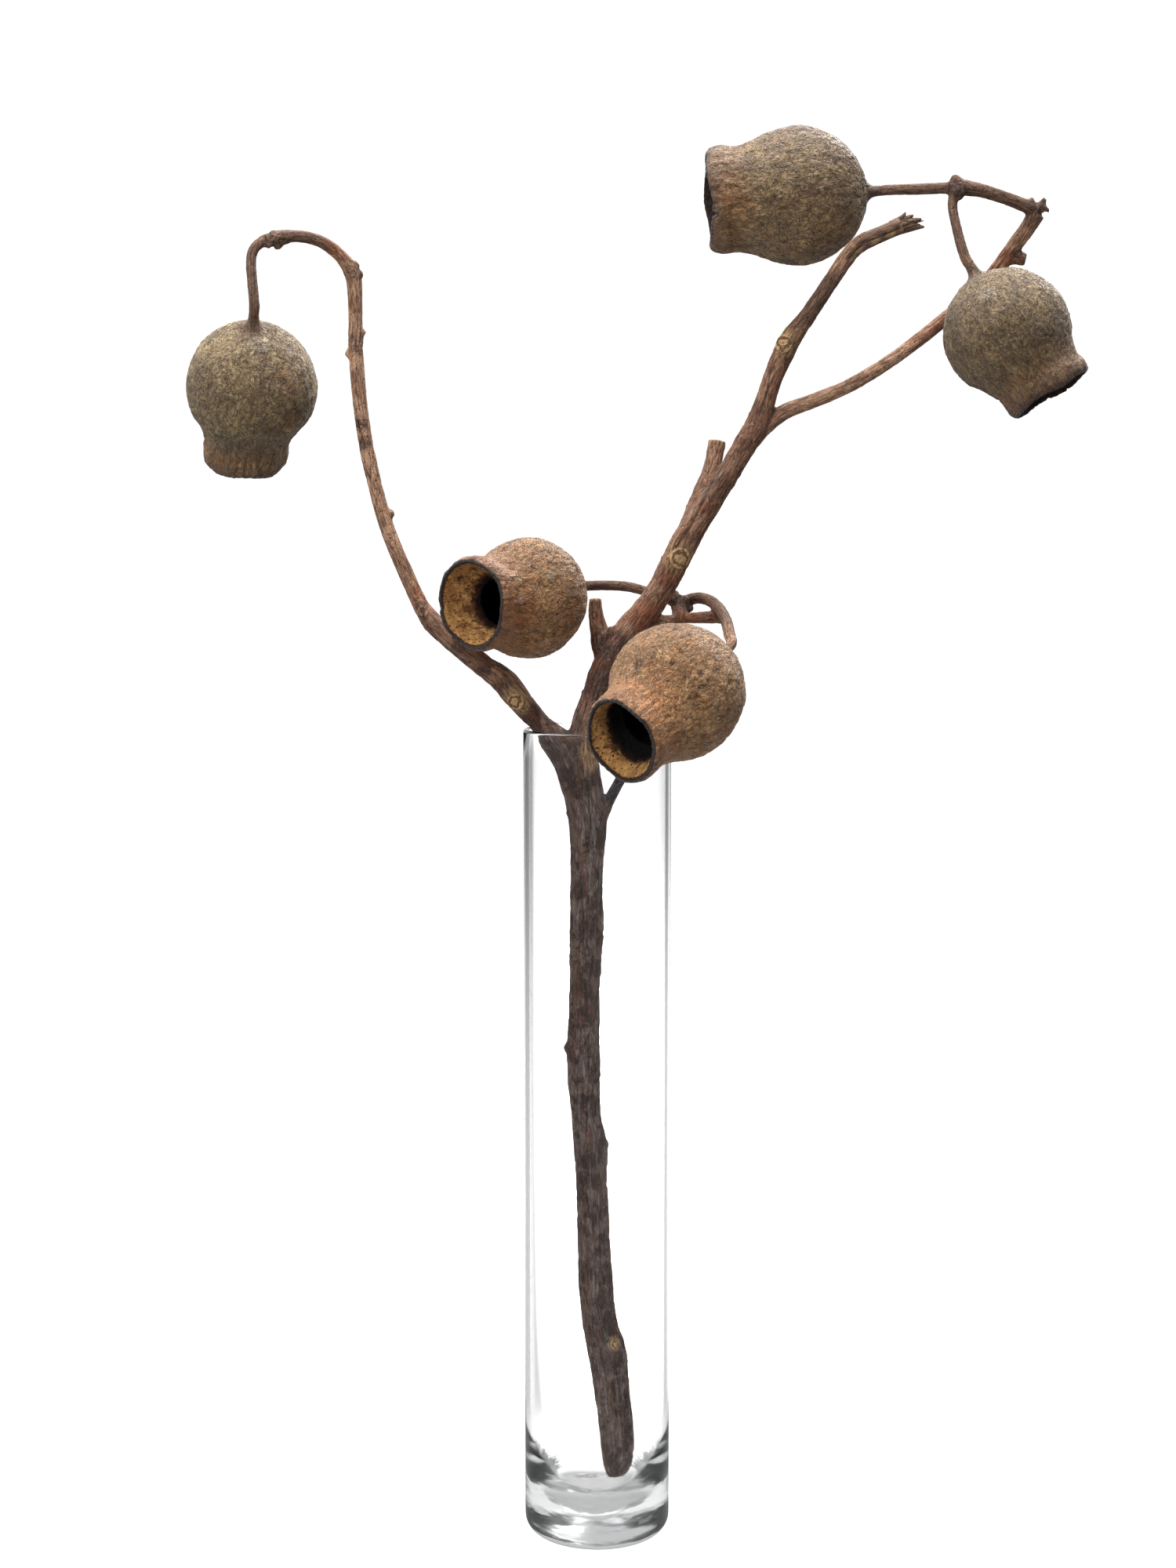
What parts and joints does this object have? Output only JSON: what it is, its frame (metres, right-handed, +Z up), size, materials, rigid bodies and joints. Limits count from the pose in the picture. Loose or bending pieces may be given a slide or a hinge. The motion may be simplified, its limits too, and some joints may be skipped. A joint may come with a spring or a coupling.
{
  "type": "dried bell cup pods on a branch in a glass vase",
  "caption": "Cut dried branch with hollow woody bell cup pods on thin stalks, standing in a tall slim clear glass cylinder vase.",
  "frame": {"origin": "centre of the vase's foot, on the surface it stands on", "axes": "+Z up the vase, -Y the side that the open cups face, +X to the side of the longer forked limb"},
  "size_m": [0.2379, 0.0807, 0.3842],
  "materials": {
    "clear_glass": "clear, polished",
    "bark": "dull, weathered bark",
    "pod_skin": "dull, finely wrinkled"
  },
  "bodies": {
    "root": {"vase": "clear_glass", "branch": "bark", "pod_drooping": "pod_skin", "pod_centre_left": "pod_skin", "pod_centre_front": "pod_skin", "pod_top": "pod_skin", "pod_right": "pod_skin"}
  },
  "joints": []
}
